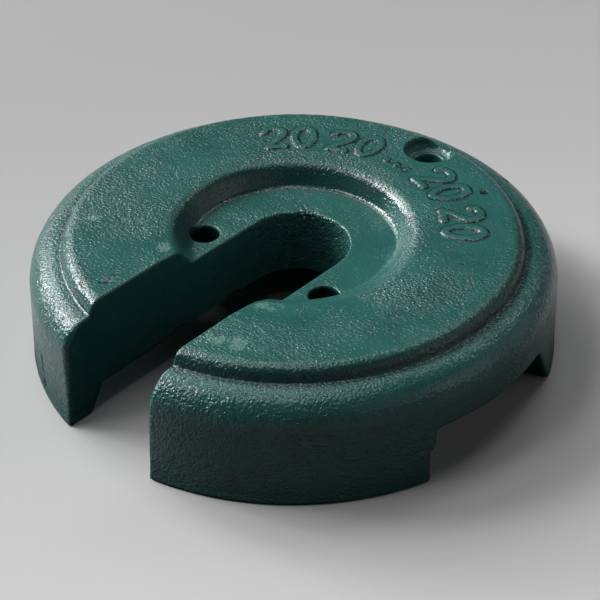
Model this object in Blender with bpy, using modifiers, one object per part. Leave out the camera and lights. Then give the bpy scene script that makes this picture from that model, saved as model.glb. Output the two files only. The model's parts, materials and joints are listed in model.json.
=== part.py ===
"""Slotted cast-iron tent weight, a single painted casting.

Metres, +Z up. The origin is on the disc's axis, on the floor that the feet stand on. The leg slot opens
towards -Y. Angles round the axis are measured from -Y, and the two sides mirror each other.
"""

from math import atan2, ceil, cos, degrees, pi, radians, sin, sqrt, tan

import bmesh
import bpy
from mathutils import Matrix, Vector

# Disc
OUTER_RADIUS = 0.145
HEIGHT = 0.069
WALL_DRAFT = 0.0025

# Step round the raised disc
SHOULDER_WIDTH = 0.0206
SHOULDER_DROP = 0.0085
SHOULDER_ROUND = 0.0165
DISC_EDGE_WIDTH = 0.009
DISC_EDGE_END_ANGLE = 8.0
STEP_CORNER_ROUND = 0.0006

# Recess in the middle of the top
RECESS_FLOOR_RADIUS = 0.0597
RECESS_DEPTH = 0.0134
RECESS_CORNER_ROUND = 0.0018
RIM_ROUND_WIDTH = 0.017
RIM_ROUND_DROP = 0.0065

# Foot ring under the edge
FOOT_HEIGHT = 0.0155
FOOT_SOLE_WIDTH = 0.0165
FOOT_INNER_RUN = 0.0078
FOOT_OUTER_ROUND = 0.0014
FOOT_INNER_ROUND = 0.004
UNDERSIDE_CORNER_ROUND = 0.005

# Slot that lets the tent's leg in to the axis
SLOT_WIDTH = 0.058
SLOT_END_OFFSET = 0.002
MOUTH_ROUND_AT_TOP = 0.007
MOUTH_ROUND_AT_SOLE = 0.0025

# Peg holes in the recess floor
PEG_HOLE_DIAMETER = 0.016
PEG_HOLE_SLOT_WEB = 0.0061
PEG_HOLE_WALL_GAP = 0.002

# Third hole, sunk in a round pocket behind the recess
REAR_HOLE_INSET = 0.035
REAR_HOLE_ANGLE = 176.3
POCKET_DIAMETER = 0.028
POCKET_DEPTH = 0.009

# Hand grips, one at each side between a front foot and the rear foot
GRIP_HEIGHT = 0.0312
GRIP_DEPTH = 0.0435
GRIP_FRONT_ANGLE = 71.0
GRIP_REAR_ANGLE = 104.0
GRIP_REAR_FLARE_ANGLE = 8.0
GRIP_INNER_ROUND = 0.006
FOOT_LEDGE_HEIGHT = 0.0202
FOOT_LEDGE_ANGLE = 1.3

# Shallow half-round reliefs under the slot's left wall
RELIEF_COUNT = 2
RELIEF_WIDTH = 0.0135
RELIEF_RISE = 0.0026
RELIEF_LENGTH = 0.022
RELIEF_FROM_MOUTH = 0.0822
RELIEF_PITCH = 0.0409

# Fineness, as numbers of straight runs
RING_STEPS = 96
HOLE_SIDES = 32
RELIEF_SIDES = 64
RECESS_RIM_STEPS = 8
DISC_EDGE_STEPS = 5
SHOULDER_STEPS = 7
FOOT_ROUND_STEPS = 2
FILLET_STEPS = 3
MOUTH_STEPS = 5
SLOT_END_STEPS = 24
GRIP_CORNER_STEPS = 2

# How far a cutter reaches past the casting
OVERRUN = 0.010
MERGE_DISTANCE = 0.00001
SHARP_EDGE_ANGLE = 30.0

PAINT_COLOUR = (0.018, 0.105, 0.092, 1.0)
PAINT_ROUGHNESS = 0.38


def clear_scene():
    for obj in list(bpy.data.objects):
        bpy.data.objects.remove(obj, do_unlink=True)


def new_collection(name):
    collection = bpy.data.collections.new(name)
    bpy.context.scene.collection.children.link(collection)
    return collection


def paint():
    material = bpy.data.materials.new("green_enamel")
    material.use_nodes = True
    shader = material.node_tree.nodes["Principled BSDF"]
    shader.inputs["Base Color"].default_value = PAINT_COLOUR
    shader.inputs["Roughness"].default_value = PAINT_ROUGHNESS
    shader.inputs["Metallic"].default_value = 0.0
    return material


def arc(centre, width, height, start, end, count):
    """Points on an ellipse round centre, from angle start to end in degrees, 0 across and 90 up."""
    steps = [start + (end - start) * i / count for i in range(count + 1)]
    return [(centre[0] + width * cos(radians(a)), centre[1] + height * sin(radians(a))) for a in steps]


def on_ring(radius, angle, z):
    """A point at this radius and angle, in degrees from -Y towards +X."""
    return Vector((radius * sin(radians(angle)), -radius * cos(radians(angle)), z))


def corner_arc(before, corner, after, radius, count):
    """Round fillet of a corner between two straight runs, as points from the first run to the second."""
    corner = Vector(corner)
    first = (Vector(before) - corner).normalized()
    second = (Vector(after) - corner).normalized()
    half = first.angle(second) / 2
    centre = corner + (first + second).normalized() * radius / sin(half)
    start = corner + first * radius / tan(half)
    spoke = start - centre
    turn = pi - 2 * half
    if (corner - centre).cross(spoke) > 0:
        turn = -turn
    points = []
    for i in range(count + 1):
        a = turn * i / count
        x = spoke.x * cos(a) - spoke.y * sin(a)
        y = spoke.x * sin(a) + spoke.y * cos(a)
        points.append((centre.x + x, centre.y + y))
    return points


def section():
    """Half section (r, z) of the turned casting, from the middle of the top, out, down and in underneath."""
    recess_floor = HEIGHT - RECESS_DEPTH
    shoulder = HEIGHT - SHOULDER_DROP
    step_radius = OUTER_RADIUS - SHOULDER_WIDTH
    wall_top_radius = OUTER_RADIUS - WALL_DRAFT
    rim_side = RECESS_FLOOR_RADIUS + RECESS_CORNER_ROUND
    rim_centre = (rim_side + RIM_ROUND_WIDTH, HEIGHT - RIM_ROUND_DROP)
    disc_edge_centre = (step_radius - DISC_EDGE_WIDTH, shoulder)
    shoulder_centre = (wall_top_radius - SHOULDER_ROUND, shoulder - SHOULDER_ROUND)
    sole_inner = OUTER_RADIUS - FOOT_SOLE_WIDTH
    foot_root = (sole_inner - FOOT_INNER_RUN, FOOT_HEIGHT)

    floor_middle = (0.0, recess_floor)
    floor_corner = (RECESS_FLOOR_RADIUS, recess_floor)
    rim_foot = (rim_side, rim_centre[1])
    wall_top = (wall_top_radius, shoulder_centre[1])
    outer_edge = (OUTER_RADIUS, 0.0)
    inner_edge = (sole_inner, 0.0)
    underside_middle = (0.0, FOOT_HEIGHT)

    points = [floor_middle]
    points += corner_arc(floor_middle, floor_corner, rim_foot, RECESS_CORNER_ROUND, FILLET_STEPS)
    points += arc(rim_centre, RIM_ROUND_WIDTH, RIM_ROUND_DROP, 180, 90, RECESS_RIM_STEPS)
    points += arc(disc_edge_centre, DISC_EDGE_WIDTH, SHOULDER_DROP, 90, DISC_EDGE_END_ANGLE, DISC_EDGE_STEPS)
    points += [(step_radius + STEP_CORNER_ROUND, shoulder)]
    points += arc(shoulder_centre, SHOULDER_ROUND, SHOULDER_ROUND, 90, 0, SHOULDER_STEPS)
    points += corner_arc(wall_top, outer_edge, inner_edge, FOOT_OUTER_ROUND, FILLET_STEPS)
    points += corner_arc(outer_edge, inner_edge, foot_root, FOOT_INNER_ROUND, FOOT_ROUND_STEPS)
    points += corner_arc(inner_edge, foot_root, underside_middle, UNDERSIDE_CORNER_ROUND, FILLET_STEPS)
    points += [underside_middle]
    return points


def turned(name, points, collection):
    """Solid made by turning a half section once round the axis."""
    mesh = bpy.data.meshes.new(name)
    edges = [(i, i + 1) for i in range(len(points) - 1)]
    mesh.from_pydata([(r, 0.0, z) for r, z in points], edges, [])
    obj = bpy.data.objects.new(name, mesh)
    collection.objects.link(obj)
    screw = obj.modifiers.new("turn", "SCREW")
    screw.axis = "Z"
    screw.angle = 2 * pi
    screw.steps = RING_STEPS
    screw.render_steps = RING_STEPS
    screw.use_merge_vertices = True
    screw.merge_threshold = MERGE_DISTANCE
    screw.use_smooth_shade = True
    return obj


def make_cutter(obj):
    obj.hide_render = True
    obj.display_type = "WIRE"
    return obj


def cutter_from(bm, name, collection):
    bmesh.ops.recalc_face_normals(bm, faces=bm.faces)
    mesh = bpy.data.meshes.new(name)
    bm.to_mesh(mesh)
    bm.free()
    obj = bpy.data.objects.new(name, mesh)
    collection.objects.link(obj)
    return make_cutter(obj)


def stacked(name, outlines, collection):
    """Closed solid through a stack of outlines with equal numbers of points, capped at both ends."""
    bm = bmesh.new()
    rows = [[bm.verts.new(point) for point in outline] for outline in outlines]
    for low, high in zip(rows, rows[1:]):
        for i in range(len(low)):
            j = (i + 1) % len(low)
            bm.faces.new((low[i], low[j], high[j], high[i]))
    bm.faces.new(list(reversed(rows[0])))
    bm.faces.new(rows[-1])
    return cutter_from(bm, name, collection)


def upright_cylinder(name, diameter, centre, low, high, collection):
    bm = bmesh.new()
    bmesh.ops.create_cone(
        bm, cap_ends=True, segments=HOLE_SIDES, radius1=diameter / 2, radius2=diameter / 2, depth=high - low
    )
    bmesh.ops.translate(bm, verts=bm.verts, vec=(centre.x, centre.y, (low + high) / 2))
    return cutter_from(bm, name, collection)


def slot_outline(mouth_round, z):
    """Plan of the slot at one height: round inner end, straight sides, rounded corners at the mouth."""
    half = SLOT_WIDTH / 2
    corner_x = half + mouth_round
    ring = OUTER_RADIUS - mouth_round
    corner_y = -sqrt(ring**2 - corner_x**2)
    meet = degrees(atan2(corner_y, corner_x))
    right = arc((corner_x, corner_y), mouth_round, mouth_round, 180, 360 + meet, MOUTH_STEPS)
    right.append((right[-1][0] + OVERRUN * cos(radians(meet)), -OUTER_RADIUS - OVERRUN))
    end = arc((0.0, SLOT_END_OFFSET), half, half, 180, 0, SLOT_END_STEPS)
    left = [(-x, y) for x, y in reversed(right)]
    return [(x, y, z) for x, y in left + end + right]


def slot_cutter(collection):
    """The mouth's corners are rounder at the top of the wall than at the sole of the feet."""
    slope = (MOUTH_ROUND_AT_TOP - MOUTH_ROUND_AT_SOLE) / HEIGHT
    levels = [
        slot_outline(MOUTH_ROUND_AT_SOLE, -OVERRUN),
        slot_outline(MOUTH_ROUND_AT_SOLE, 0.0),
        slot_outline(MOUTH_ROUND_AT_TOP + slope * OVERRUN, HEIGHT + OVERRUN),
    ]
    return stacked("slot_cutter", levels, collection)


def grip_corner(radius, angle, turn, z):
    """Rounded inner corner of a grip, from its side wall at this angle round to its back wall."""
    span = degrees(GRIP_INNER_ROUND / radius)
    points = []
    for i in range(GRIP_CORNER_STEPS + 1):
        a = pi / 2 * i / GRIP_CORNER_STEPS
        reach = GRIP_INNER_ROUND * (1 - sin(a))
        points.append(on_ring(radius + reach, angle + turn * span * (1 - cos(a)), z))
    return points


def grip_outline(front, rear, z, side):
    """Plan of a hand grip at one height, between two angles, with rounded inner corners."""
    inner = OUTER_RADIUS - GRIP_DEPTH
    outer = OUTER_RADIUS + OVERRUN
    count = ceil((GRIP_REAR_ANGLE - GRIP_FRONT_ANGLE) / (360 / RING_STEPS))
    corner = degrees(GRIP_INNER_ROUND / inner)
    points = [on_ring(outer, front, z)]
    points += grip_corner(inner, front, 1, z)
    for i in range(1, count):
        angle = front + corner + (rear - front - 2 * corner) * i / count
        points.append(on_ring(inner, angle, z))
    points += reversed(grip_corner(inner, rear, -1, z))
    for i in range(count):
        points.append(on_ring(outer, rear + (front - rear) * i / count, z))
    return [(side * p.x, p.y, p.z) for p in points]


def grip_cutter(name, side, collection):
    """Gap between the feet, topped by the slightly narrower arch that the fingers go into."""
    front_foot_end = GRIP_FRONT_ANGLE - FOOT_LEDGE_ANGLE
    rear_foot_start = GRIP_REAR_ANGLE + GRIP_REAR_FLARE_ANGLE
    slope = GRIP_REAR_FLARE_ANGLE / GRIP_HEIGHT
    rear_at_ledge = rear_foot_start - slope * FOOT_LEDGE_HEIGHT
    rear_below = rear_foot_start + slope * OVERRUN
    outlines = [
        grip_outline(front_foot_end, rear_below, -OVERRUN, side),
        grip_outline(front_foot_end, rear_at_ledge, FOOT_LEDGE_HEIGHT, side),
        grip_outline(GRIP_FRONT_ANGLE, rear_at_ledge, FOOT_LEDGE_HEIGHT, side),
        grip_outline(GRIP_FRONT_ANGLE, GRIP_REAR_ANGLE, GRIP_HEIGHT, side),
    ]
    return stacked(name, outlines, collection)


def relief_cutter(name, centre_y, collection):
    """Lying half-round bar that cuts a shallow relief in the slot's lower left edge."""
    radius = (RELIEF_RISE**2 + (RELIEF_WIDTH / 2) ** 2) / (2 * RELIEF_RISE)
    length = RELIEF_LENGTH + OVERRUN
    bm = bmesh.new()
    bmesh.ops.create_cone(
        bm, cap_ends=True, segments=RELIEF_SIDES, radius1=radius, radius2=radius, depth=length
    )
    bmesh.ops.rotate(bm, verts=bm.verts, matrix=Matrix.Rotation(pi / 2, 3, "Y"))
    centre_x = -SLOT_WIDTH / 2 - RELIEF_LENGTH + length / 2
    centre_z = FOOT_HEIGHT + RELIEF_RISE - radius
    bmesh.ops.translate(bm, verts=bm.verts, vec=(centre_x, centre_y, centre_z))
    return cutter_from(bm, name, collection)


def cut(obj, cutter):
    boolean = obj.modifiers.new(cutter.name, "BOOLEAN")
    boolean.operation = "DIFFERENCE"
    boolean.solver = "EXACT"
    boolean.object = cutter


def apply_cuts(obj):
    """Make the cut shape real, then shade its round faces smooth and keep its edges sharp."""
    depsgraph = bpy.context.evaluated_depsgraph_get()
    mesh = bpy.data.meshes.new_from_object(obj.evaluated_get(depsgraph))
    mesh.name = obj.name
    obj.modifiers.clear()
    obj.data = mesh
    mesh.shade_smooth()
    mesh.set_sharp_from_angle(angle=radians(SHARP_EDGE_ANGLE))


def peg_hole_centre(side):
    """Each hole keeps a web to the slot and a gap to the recess's wall."""
    radius = PEG_HOLE_DIAMETER / 2
    across = SLOT_WIDTH / 2 + PEG_HOLE_SLOT_WEB + radius
    from_axis = RECESS_FLOOR_RADIUS - PEG_HOLE_WALL_GAP - radius
    return Vector((side * across, -sqrt(from_axis**2 - across**2), 0.0))


def weight_casting(collection, cutters):
    """The whole weight: a turned disc with its slot, grips, peg holes, pocket and reliefs cut out."""
    casting = turned("weight_casting", section(), collection)
    top = HEIGHT + OVERRUN
    rear_hole = on_ring(OUTER_RADIUS - REAR_HOLE_INSET, REAR_HOLE_ANGLE, 0.0)
    mouth_y = -sqrt(OUTER_RADIUS**2 - (SLOT_WIDTH / 2) ** 2)

    cut(casting, slot_cutter(cutters))
    for name, side in (("left", -1), ("right", 1)):
        cut(casting, grip_cutter(name + "_grip_cutter", side, cutters))
        hole = peg_hole_centre(side)
        cut(casting, upright_cylinder(name + "_peg_cutter", PEG_HOLE_DIAMETER, hole, -OVERRUN, top, cutters))
    cut(casting, upright_cylinder("rear_peg_cutter", PEG_HOLE_DIAMETER, rear_hole, -OVERRUN, top, cutters))
    pocket_floor = HEIGHT - POCKET_DEPTH
    cut(casting, upright_cylinder("pocket_cutter", POCKET_DIAMETER, rear_hole, pocket_floor, top, cutters))
    for i in range(RELIEF_COUNT):
        centre_y = mouth_y + RELIEF_FROM_MOUTH + i * RELIEF_PITCH
        cut(casting, relief_cutter(f"relief_cutter_{i + 1}", centre_y, cutters))
    casting.data.materials.append(paint())
    apply_cuts(casting)


def main():
    clear_scene()
    pieces = new_collection("tent_weight")
    cutters = new_collection("cutters")
    cutters.hide_render = True
    weight_casting(pieces, cutters)


main()
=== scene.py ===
"""A slotted tent weight: one iron casting under glossy green enamel, on a pale studio floor.

The casting's surface is where a field is zero. The field gives each point of space a number that is close to its
distance from the surface, negative inside the iron. Features are joined by taking the larger of two fields with
the edge between them rounded, as a casting's edges are. Metres, +Z up; angles round the axis are in degrees, from
-Y towards +X.
"""

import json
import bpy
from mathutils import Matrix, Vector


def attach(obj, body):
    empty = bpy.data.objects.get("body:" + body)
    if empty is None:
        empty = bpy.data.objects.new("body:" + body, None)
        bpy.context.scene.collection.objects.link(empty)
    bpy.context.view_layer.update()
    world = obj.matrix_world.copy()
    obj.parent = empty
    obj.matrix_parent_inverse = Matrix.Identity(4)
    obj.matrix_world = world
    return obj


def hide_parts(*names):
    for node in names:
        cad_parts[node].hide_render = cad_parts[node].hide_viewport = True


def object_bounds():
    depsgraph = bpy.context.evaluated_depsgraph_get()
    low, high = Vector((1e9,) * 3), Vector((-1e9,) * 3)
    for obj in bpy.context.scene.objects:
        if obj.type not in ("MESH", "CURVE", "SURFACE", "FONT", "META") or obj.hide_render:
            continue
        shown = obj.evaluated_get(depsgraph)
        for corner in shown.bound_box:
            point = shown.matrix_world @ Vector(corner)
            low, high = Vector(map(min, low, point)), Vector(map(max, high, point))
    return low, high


bl_info = {
    "name": "Slotted tent weight",
    "version": (1, 0, 0),
    "blender": (4, 5, 0),
    "location": "3D View > Sidebar > Tent Weight",
    "description": "Builds a painted cast-iron tent weight and the studio that it stands in",
    "category": "Add Mesh",
}

import bpy
import numpy as np
from bpy.props import FloatProperty, FloatVectorProperty, IntProperty, PointerProperty
from mathutils import Matrix, Vector

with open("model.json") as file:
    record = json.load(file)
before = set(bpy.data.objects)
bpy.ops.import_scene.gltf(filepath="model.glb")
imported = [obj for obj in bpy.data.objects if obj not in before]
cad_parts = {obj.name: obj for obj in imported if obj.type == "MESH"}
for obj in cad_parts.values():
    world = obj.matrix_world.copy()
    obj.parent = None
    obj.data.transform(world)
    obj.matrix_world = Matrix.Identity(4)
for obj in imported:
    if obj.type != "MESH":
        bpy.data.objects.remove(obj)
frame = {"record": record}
CAD_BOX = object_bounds()
MOUNTS = {mount["name"]: mount["pos_m"] for mount in frame["record"]["mounts"]}
OPENINGS = {opening["name"]: np.array(opening["box_m"]) for opening in frame["record"]["physics"]["openings"]}
MM = 0.001


def length(name, default, description):
    return FloatProperty(name=name, description=description, default=default, min=0.0, precision=5, unit="LENGTH")


def degrees(name, default, description):
    return FloatProperty(name=name, description=description, default=default)


def share(name, default, description):
    return FloatProperty(name=name, description=description, default=default, min=0.0, soft_max=1.0)


def colour(name, default, description):
    return FloatVectorProperty(
        name=name, description=description, default=default, size=3, subtype="COLOR", min=0.0, max=1.0
    )


class CastingShape(bpy.types.PropertyGroup):
    """Sizes of the casting."""

    outer_radius: length("Outer radius", CAD_BOX[1].y, "Radius of the wall where it is widest, above the sole")
    height: length("Height", CAD_BOX[1].z, "Floor to the top of the raised numbers")
    relief: length("Number height", 1.0 * MM, "How far the numbers stand above the top face")
    wall_draft: length("Wall draft", 2.5 * MM, "How much narrower the wall is under the shoulder than at the sole")
    shoulder_drop: length("Shoulder drop", 8.5 * MM, "Top of the numbers down to the shoulder round the disc")
    shoulder_width: length("Shoulder width", 20.6 * MM, "Step to the outer radius")
    shoulder_round: length("Shoulder round", 16.5 * MM, "Radius between the shoulder and the wall")
    disc_round: length("Disc edge round", 8.0 * MM, "Radius on the upper edge of the disc")
    recess_floor: length("Recess floor", MOUNTS["recess_floor"][2], "Height of the recess's floor")
    underside: length("Underside", MOUNTS["underside"][2], "Height of the slab's underside")
    sole_width: length("Sole width", 16.5 * MM, "Width of the foot ring where it stands")
    foot_run: length("Foot run", 7.8 * MM, "How far the foot's inner wall leans in")
    slot_width: length("Slot width", MOUNTS["slot_right_wall"][0] - MOUNTS["slot_left_wall"][0], "Wall to wall")
    slot_end: length("Slot end", 2.0 * MM, "Centre of the slot's round end, behind the axis")
    mouth_round_top: length("Mouth round, top", 4.5 * MM, "Radius on the mouth's corners at the shoulder")
    mouth_round_sole: length("Mouth round, sole", 1.8 * MM, "Radius on the mouth's corners at the sole")
    hole_radius: length("Stake hole radius", 8.0 * MM, "Radius of the three stake holes")
    pocket_radius: length("Pocket radius", 14.0 * MM, "Radius of the pocket round the rear hole")
    pocket_floor: length("Pocket floor", OPENINGS["rear_peg_pocket"][0][2] - 0.5 * MM, "Height of the pocket's floor")
    grip_depth: length("Grip depth", 43.5 * MM, "How far the grips reach in from the outer radius")
    grip_height: length("Grip height", 31.2 * MM, "Floor to the top of the grips")
    grip_front: degrees("Grip front", 71.0, "Angle of the grips' front wall")
    grip_rear: degrees("Grip rear", 104.0, "Angle of the grips' rear wall at the top")
    grip_flare: degrees("Grip flare", 8.0, "How much further back the rear wall is at the floor")
    ledge_height: length("Ledge height", 20.2 * MM, "Top of the front foot's small ledge")
    ledge_angle: degrees("Ledge angle", 1.3, "How far the front foot ends before the grip's front wall")


class CastingSurface(bpy.types.PropertyGroup):
    """Roughness of the iron, and how fine the mesh is."""

    cell: length("Cell", 0.95 * MM, "Width of the grid cells that the surface is found in")
    quick_cell: length("Quick cell", 2.4 * MM, "The same, for trial renders")
    triangles: IntProperty(name="Triangles", description="The mesh is thinned to this many", default=188000)
    sway: length("Sway", 0.22 * MM, "Height of the broad unevenness left by the mould")
    lumps: length("Lumps", 0.14 * MM, "Height of the lumps left by the sand")
    pebbles: length("Pebbles", 0.20 * MM, "Height of the pebbled skin, where it is strongest")
    edge_round: length("Edge round", 1.5 * MM, "Radius on the slot's edges")
    hole_round: length("Hole edge round", 1.0 * MM, "Radius on the edges of the holes and the pocket")
    grip_round: length("Grip edge round", 2.4 * MM, "Radius on the grips' edges")


class EnamelLook(bpy.types.PropertyGroup):
    """Colour and gloss of the green enamel."""

    base: colour("Enamel", (0.0324, 0.1440, 0.1285), "Colour of a full coat")
    thin: colour("Thin coat", (0.0384, 0.1620, 0.1450), "Colour where the coat is thin")
    # Also the colour of the painted glints on the slot's end
    scuff_and_glint: colour("Scuffs", (0.1100, 0.2600, 0.2300), "Colour of the pale scuffs")
    # Painted shade with some soiling: this colour darkens corners, pits, bores, the step's riser and shaded walls
    shade_and_grime: colour("Grime", (0.0040, 0.0130, 0.0120), "Colour in the corners and pits")
    chip: colour("Chip", (0.0600, 0.0600, 0.0660), "Colour of the primer in the one chip")
    roughness: share("Roughness", 0.14, "Roughness of a clean coat")
    specular: share("Specular level", 0.8, "Strength of the enamel's reflection")
    grain: length("Grain", 0.7 * MM, "Height of the fine grain that only the shading shows")


class StudioLook(bpy.types.PropertyGroup):
    """Floor, lamps and camera."""

    # The paper's near and far colours and its turn carry painted light, paler towards the camera and its right
    floor_painted_light_near: colour("Floor, near", (0.77, 0.77, 0.77), "Colour of the paper sweep near the camera")
    floor_painted_light_far: colour("Floor, far", (0.48, 0.48, 0.48), "Colour of the paper sweep behind the weight")
    bounce: share("Bounce", 0.1, "Share of the floor's colour that it throws back onto the casting")
    mirrored_near: share("Mirrored, near", 0.25, "Share of the near floor's colour that the enamel mirrors")
    mirrored_far: share("Mirrored, far", 0.9, "Share of the far floor's colour that the enamel mirrors")
    # Painted shadow on the paper under the middle of the weight
    painted_shadow_under: colour("Floor, under", (0.12, 0.12, 0.12), "Colour of the paper under the middle of the weight")
    painted_light_turn: degrees("Floor turn", 18.0, "How far right of the camera the floor is palest")
    backdrop: share("Backdrop", 0.2, "Brightness of the room behind the paper, which only the camera sees")
    azimuth: degrees("Azimuth", 41.656, "Direction that the camera stands in, from -Y towards +X")
    elevation: degrees("Elevation", 36.641, "Height of the camera above the horizon")
    roll: degrees("Roll", -0.28, "Turn of the camera about its own axis")
    distance: length("Distance", 0.87796, "Camera to the point that it looks at")
    focal_length: FloatProperty(name="Focal length", description="In millimetres, on a 36 mm sensor", default=91.61)


CAMERA_TARGET = Vector((-0.01296, 0.01958, 0.0))


# Fields


def blend(low, high, x):
    """0 below low, 1 above high, and a smooth S curve between."""
    t = np.clip((x - low) / (high - low), 0.0, 1.0)
    return t * t * (3.0 - 2.0 * t)


def joined(a, b, radius):
    """The larger of two fields, with the edge where they meet rounded to the radius."""
    corner = np.hypot(np.maximum(a + radius, 0.0), np.maximum(b + radius, 0.0))
    return np.minimum(np.maximum(a, b), -radius) + corner


def rounded(corners, steps=10):
    """Outline through (r, z, radius) corners: each inner corner becomes an arc of its radius.

    The arc's spokes turn evenly from one run's tangent point to the next one's."""
    points = np.array(corners)[:, :2]
    outline = [points[:1]]
    for before, corner, after, radius in zip(points, points[1:], points[2:], [c[2] for c in corners[1:]]):
        first = (before - corner) / np.linalg.norm(before - corner)
        second = (after - corner) / np.linalg.norm(after - corner)
        half = np.arccos(np.clip(first @ second, -1.0, 1.0)) / 2
        centre = corner + (first + second) / np.linalg.norm(first + second) * radius / np.sin(half)
        reach = radius / np.tan(half)
        turn = np.pi - 2 * half
        t = np.linspace(0.0, 1.0, steps)[:, None]
        start, end = corner + first * reach - centre, corner + second * reach - centre
        outline.append(centre + (np.sin((1 - t) * turn) * start + np.sin(t * turn) * end) / np.sin(turn))
    outline.append(points[-1:])
    return np.concatenate(outline)


def polar(x, y):
    """Distance from the axis, and degrees round it from -Y towards +X."""
    return np.hypot(x, y), np.degrees(np.arctan2(x, -y))


def turn_from(start, angle):
    """Degrees from start round to the angle, from -180 to 180."""
    return (angle - start + 180.0) % 360.0 - 180.0


def patch_distance(x, y, patch):
    """Plan distance to the middle of a patch, as a share of the patch's size."""
    (at_x, at_y), size = patch
    return np.hypot(x - at_x * MM, y - at_y * MM) / (size * MM)


class OutlineField:
    """Field of the body that an outline makes when it turns round the axis.

    A table over radius and height holds the least distance to the outline's straight runs. It is negative where
    a line drawn outwards crosses an odd number of runs. Other points are read between its entries."""

    STEP = 0.25 * MM
    MARGIN = 12 * MM

    def __init__(self, outline, radius, height):
        self.low = np.array([-2 * MM, -self.MARGIN])
        counts = np.ceil((np.array([radius, height]) + self.MARGIN - self.low) / self.STEP).astype(int)
        r, z = np.meshgrid(*(self.low[i] + self.STEP * np.arange(counts[i]) for i in range(2)), indexing="ij")
        least = np.full(r.shape, np.inf)
        odd = np.zeros(r.shape, bool)
        for (r0, z0), (r1, z1) in zip(outline, outline[1:]):
            dr, dz = r1 - r0, z1 - z0
            t = np.clip(((r - r0) * dr + (z - z0) * dz) / (dr * dr + dz * dz), 0.0, 1.0)
            least = np.minimum(least, np.hypot(r - r0 - t * dr, z - z0 - t * dz))
            if dz:
                spans = (z0 > z) != (z1 > z)
                odd ^= spans & (r < r0 + (z - z0) / dz * dr)
        self.table = np.where(odd, -least, least)

    def __call__(self, r, z):
        u = np.clip((r - self.low[0]) / self.STEP, 0, self.table.shape[0] - 1.001)
        v = np.clip((z - self.low[1]) / self.STEP, 0, self.table.shape[1] - 1.001)
        i, j = u.astype(int), v.astype(int)
        s, t = u - i, v - j
        near = self.table[i, j] * (1 - t) + self.table[i, j + 1] * t
        far = self.table[i + 1, j] * (1 - t) + self.table[i + 1, j + 1] * t
        return near * (1 - s) + far * s


# Seeds, one for each noise

SWAY, LUMPS, SMALL_LUMPS, PEBBLES, PATCHES, SMALL_PATCHES, RAGGED, WORN, SCUFFED = range(1, 10)


def lattice_noise(x, y, z, size, seed):
    """Smooth noise from -1 to 1. Each corner of a cubic lattice has a random value, blended by a quintic curve."""
    total = 0.0
    scaled = [axis / size + 1000.0 for axis in (x, y, z)]
    cells = [np.floor(axis).astype(np.int64) for axis in scaled]
    parts = [axis - cell for axis, cell in zip(scaled, cells)]
    eased = [t * t * t * (t * (t * 6.0 - 15.0) + 10.0) for t in parts]
    for di, dj, dk in np.ndindex(2, 2, 2):
        key = (cells[0] + di) * 73856093 ^ (cells[1] + dj) * 19349663 ^ (cells[2] + dk) * 83492791 ^ seed * 2654435761
        key = (key ^ (key >> 15)) * 2246822519 & 0xFFFFFFFF
        key = (key ^ (key >> 13)) * 3266489917 & 0xFFFFFFFF
        value = ((key ^ (key >> 16)) & 0xFFFF) / 32767.5 - 1.0
        weight = np.abs(1 - di - eased[0]) * np.abs(1 - dj - eased[1]) * np.abs(1 - dk - eased[2])
        total = total + value * weight
    return total


def run_distance(point, start, end):
    """Distance from each point to a straight run, in the plane or in space.

    The nearest place on the run is where the point's shadow falls on it, held between its ends."""
    run = [b - a for a, b in zip(start, end)]
    shadow = sum((p - a) * d for p, a, d in zip(point, start, run)) / sum(d * d for d in run)
    t = np.clip(shadow, 0.0, 1.0)
    return np.sqrt(sum((p - a - t * d) ** 2 for p, a, d in zip(point, start, run)))


# The raised numbers

DIGIT_HALF_WIDTH = 5.6 * MM
DIGIT_HALF_HEIGHT = 10.4 * MM
DIGIT_PITCH = 17.2 * MM
STROKE_HALF_WIDTH = 2.1 * MM
STROKE_SLOPE = 1.0 * MM
NUMBER_RADIUS = 91.5 * MM
NUMBER_MIDDLE = 177.5
NUMBER_OFFSETS = (-33.5 * MM, 33.5 * MM, -73.0 * MM, 73.0 * MM)
NUMBER_FOOT = 1.2 * MM
PIP_OFFSETS = (-8.0 * MM, 0.0, 8.0 * MM)
PIP_INSET = 7.5 * MM


def nought_strokes():
    """An upright ellipse."""
    a = np.linspace(0.0, 2 * np.pi, 21)
    return np.stack([DIGIT_HALF_WIDTH * np.cos(a), DIGIT_HALF_HEIGHT * np.sin(a)], axis=-1)


def two_strokes():
    """A hook of 200 degrees over the top, then a straight run down to the left and a foot to the right."""
    hook_centre = DIGIT_HALF_HEIGHT - DIGIT_HALF_WIDTH
    a = np.radians(np.linspace(165.0, -35.0, 12))
    hook = np.stack([DIGIT_HALF_WIDTH * np.cos(a), hook_centre + DIGIT_HALF_WIDTH * np.sin(a)], axis=-1)
    foot = [(-DIGIT_HALF_WIDTH, -DIGIT_HALF_HEIGHT), (DIGIT_HALF_WIDTH, -DIGIT_HALF_HEIGHT)]
    return np.concatenate([hook, foot])


def number_distance(r, angle):
    """Distance on the top face to the strokes of the numbers and to the pips between them."""
    u = NUMBER_RADIUS * np.radians(turn_from(angle, NUMBER_MIDDLE))
    v = r - NUMBER_RADIUS
    least = np.full(r.shape, 1.0)
    for offset in NUMBER_OFFSETS:
        for place, strokes in ((-0.5, two_strokes()), (0.5, nought_strokes())):
            for start, end in zip(strokes, strokes[1:]):
                least = np.minimum(least, run_distance((u - offset - place * DIGIT_PITCH, v), start, end))
    for offset in PIP_OFFSETS:
        least = np.minimum(least, np.hypot(u - offset, v + PIP_INSET))
    return least


# Marks of casting and use, in millimetres. A mark and the burr have a start, an end, a half width and a depth, and a
# patch or one of the scuffs has a place on the top and a size.

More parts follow.
